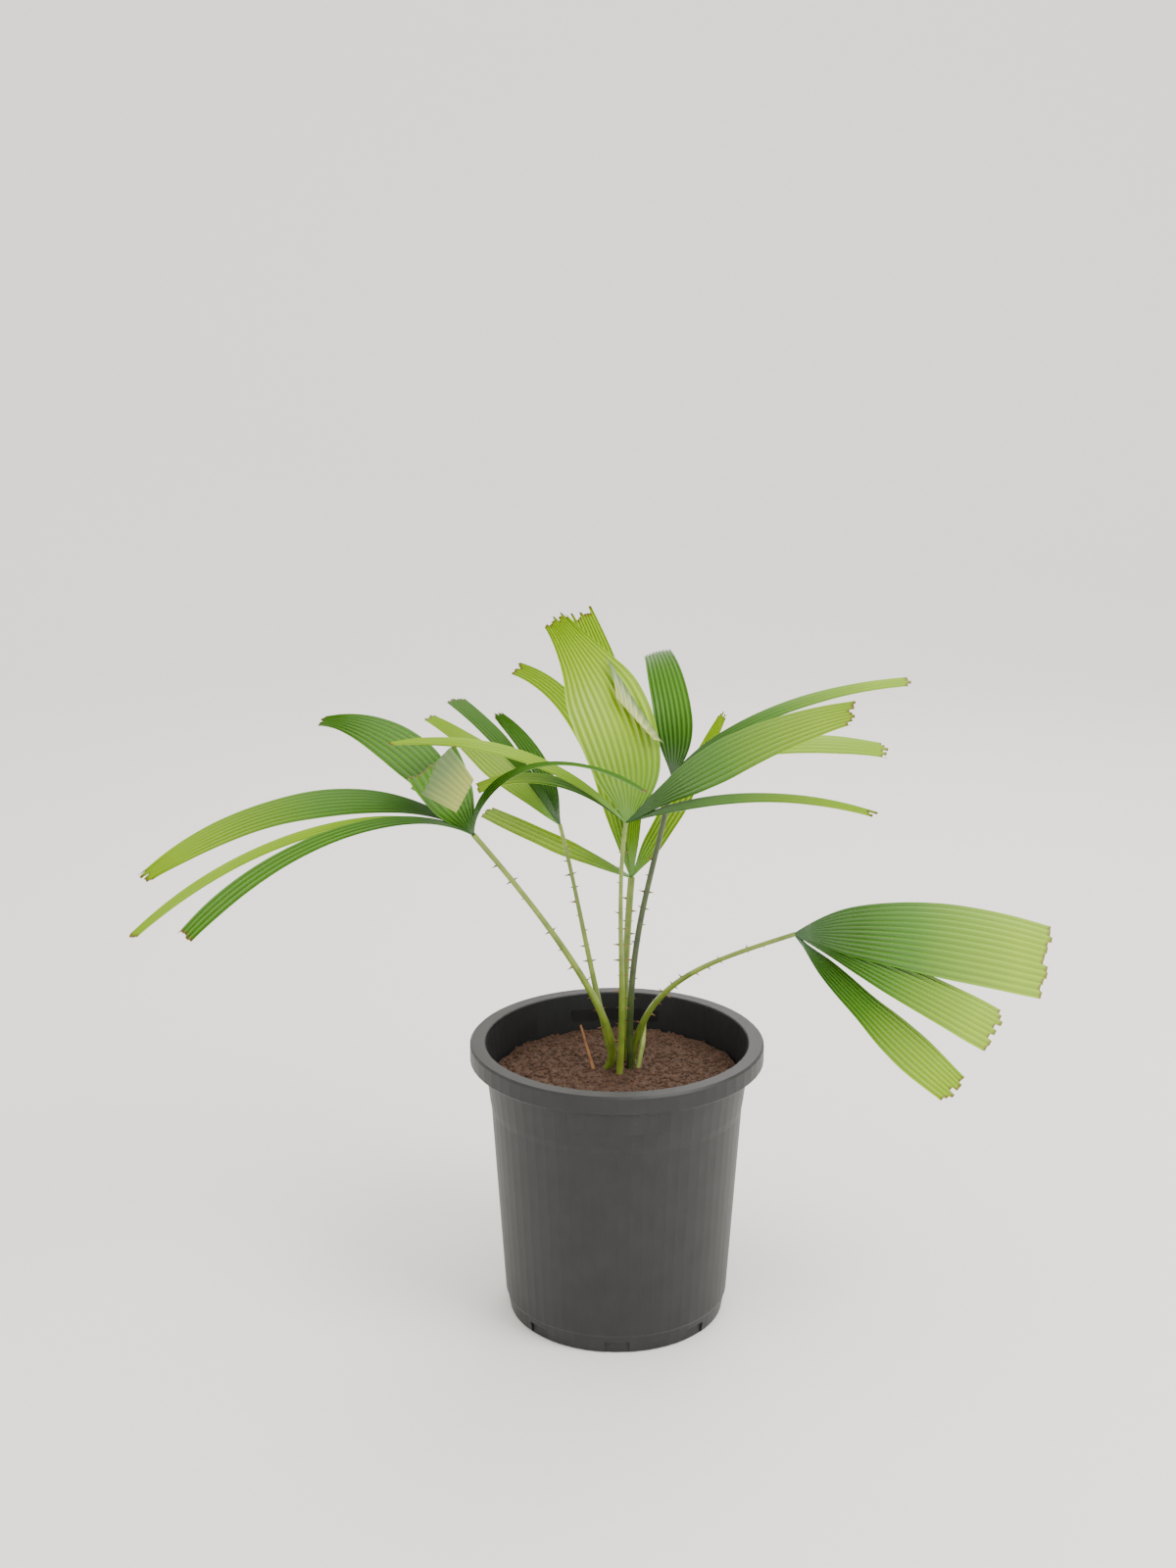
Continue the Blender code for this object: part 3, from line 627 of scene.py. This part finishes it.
class PALM_OT_soil(bpy.types.Operator):
    """Bumpy bed of soil with its crumbs"""
    bl_idname = "palm.soil"
    bl_label = "Soil"

    def execute(self, context):
        sizes, colour = context.scene.palm_sizes, tuple(context.scene.palm_colours.soil)
        mat = mixed("potting_mix", colour, tuple(2.6 * c for c in colour), 240, 0.95, 1.0, 2.5 * MM)
        rng = np.random.default_rng(sizes.seed)
        waves = [(rng.uniform(0.3, 0.7) * MM, rng.uniform(-260, 260), rng.uniform(-260, 260), rng.uniform(0, 6))
                 for _ in range(9)]
        rings, sides = 40, 110
        depth = 0.02
        verts, faces = [(0, 0, soil_height(0, 0, waves))], []
        for r in range(1, rings + 1):
            for k in range(sides):
                angle = math.tau * k / sides
                x = SOIL_RADIUS * r / rings * math.cos(angle)
                y = SOIL_RADIUS * r / rings * math.sin(angle)
                verts.append((x, y, soil_height(x, y, waves)))
        for k in range(sides):
            j = (k + 1) % sides
            faces.append([0, 1 + k, 1 + j])
            for r in range(rings - 1):
                a = 1 + r * sides
                faces.append([a + k, a + sides + k, a + sides + j, a + j])
        top = bpy.data.meshes.new("soil_top")
        top.from_pydata(verts, [], faces)
        last = 1 + (rings - 1) * sides
        low = len(verts)
        body_verts = verts + [(verts[last + k][0], verts[last + k][1], SOIL_HEIGHT - depth) for k in range(sides)]
        body_faces = faces + [[last + k, low + k, low + (k + 1) % sides, last + (k + 1) % sides]
                              for k in range(sides)]
        body_faces.append([low + k for k in reversed(range(sides))])
        finish_piece("soil_bed", body_verts, body_faces, [mat], ["soil"])
        tree = scatter_tree("crumbs", mat, True)
        density = sizes.crumb_count / (math.pi * SOIL_RADIUS ** 2)
        scattered("soil_crumbs", top, tree, density, sizes.crumb_radius, sizes.seed)
        return {"FINISHED"}


class PALM_OT_stage(bpy.types.Operator):
    """Pale floor, soft light and the camera"""
    bl_idname = "palm.stage"
    bl_label = "Stage"

    def execute(self, context):
        mat, nodes, links, shader = new_material("floor", 0.9)
        shader.inputs["Base Color"].default_value = (0.90, 0.88, 0.85, 1)
        line = [(-9.0, 0.0)]
        for i in range(SWEEP_STEPS + 1):
            angle = math.pi / 2 * i / SWEEP_STEPS
            line.append((SWEEP_BACK + SWEEP_BEND * math.sin(angle), SWEEP_BEND * (1 - math.cos(angle))))
        line.append((SWEEP_BACK + SWEEP_BEND, 9.0))
        mesh = bpy.data.meshes.new("floor")
        verts = [(x, y, z) for y, z in line for x in (-12.0, 12.0)]
        faces = [(2 * i, 2 * i + 1, 2 * i + 3, 2 * i + 2) for i in range(len(line) - 1)]
        mesh.from_pydata(verts, [], faces)
        mesh.shade_smooth()
        mesh.materials.append(mat)
        floor = bpy.data.objects.new("floor", mesh)
        context.scene.collection.objects.link(floor)
        world = bpy.data.worlds.new("studio")
        world.use_nodes = True
        world.node_tree.nodes["Background"].inputs["Color"].default_value = (1.0, 0.98, 0.95, 1)
        world.node_tree.nodes["Background"].inputs["Strength"].default_value = 1.7
        context.scene.world = world
        for name, place, energy, size in (("key", (1.6, -1.2, 2.6), 70, 1.4), ("back", (0.6, 2.0, 2.2), 30, 1.6)):
            light = bpy.data.lights.new(name, "AREA")
            light.energy = energy
            light.size = size
            lamp = bpy.data.objects.new(name, light)
            lamp.location = place
            lamp.rotation_euler = (Vector((0, 0, 0.4)) - Vector(place)).to_track_quat("-Z", "Y").to_euler()
            context.scene.collection.objects.link(lamp)
        camera = bpy.data.objects.new("camera", bpy.data.cameras.new("camera"))
        camera.data.lens = CAMERA_LENS
        camera.location = CAMERA_PLACE
        camera.rotation_euler = (CAMERA_TILT, 0, 0)
        context.scene.collection.objects.link(camera)
        context.scene.camera = camera
        return {"FINISHED"}


OPERATORS = (PALM_OT_pot, PALM_OT_soil, PALM_OT_petioles, PALM_OT_fronds, PALM_OT_stage)


class PALM_PT_panel(bpy.types.Panel):
    """Lists the pieces of the palm"""
    bl_idname = "PALM_PT_panel"
    bl_label = "Potted fan palm"
    bl_space_type = "VIEW_3D"
    bl_region_type = "UI"
    bl_category = "Palm"

    def draw(self, context):
        for operator in OPERATORS:
            self.layout.operator(operator.bl_idname)


CLASSES = (PalmSizes, PalmColours, *OPERATORS, PALM_PT_panel)


def register():
    for cls in CLASSES:
        bpy.utils.register_class(cls)
    bpy.types.Scene.palm_sizes = bpy.props.PointerProperty(type=PalmSizes)
    bpy.types.Scene.palm_colours = bpy.props.PointerProperty(type=PalmColours)


def unregister():
    del bpy.types.Scene.palm_colours
    del bpy.types.Scene.palm_sizes
    for cls in reversed(CLASSES):
        bpy.utils.unregister_class(cls)


def main():
    register()
    bpy.ops.palm.pot()
    bpy.ops.palm.soil()
    bpy.ops.palm.petioles()
    bpy.ops.palm.fronds()
    bpy.ops.palm.stage()


if __name__ == "__main__":
    main()
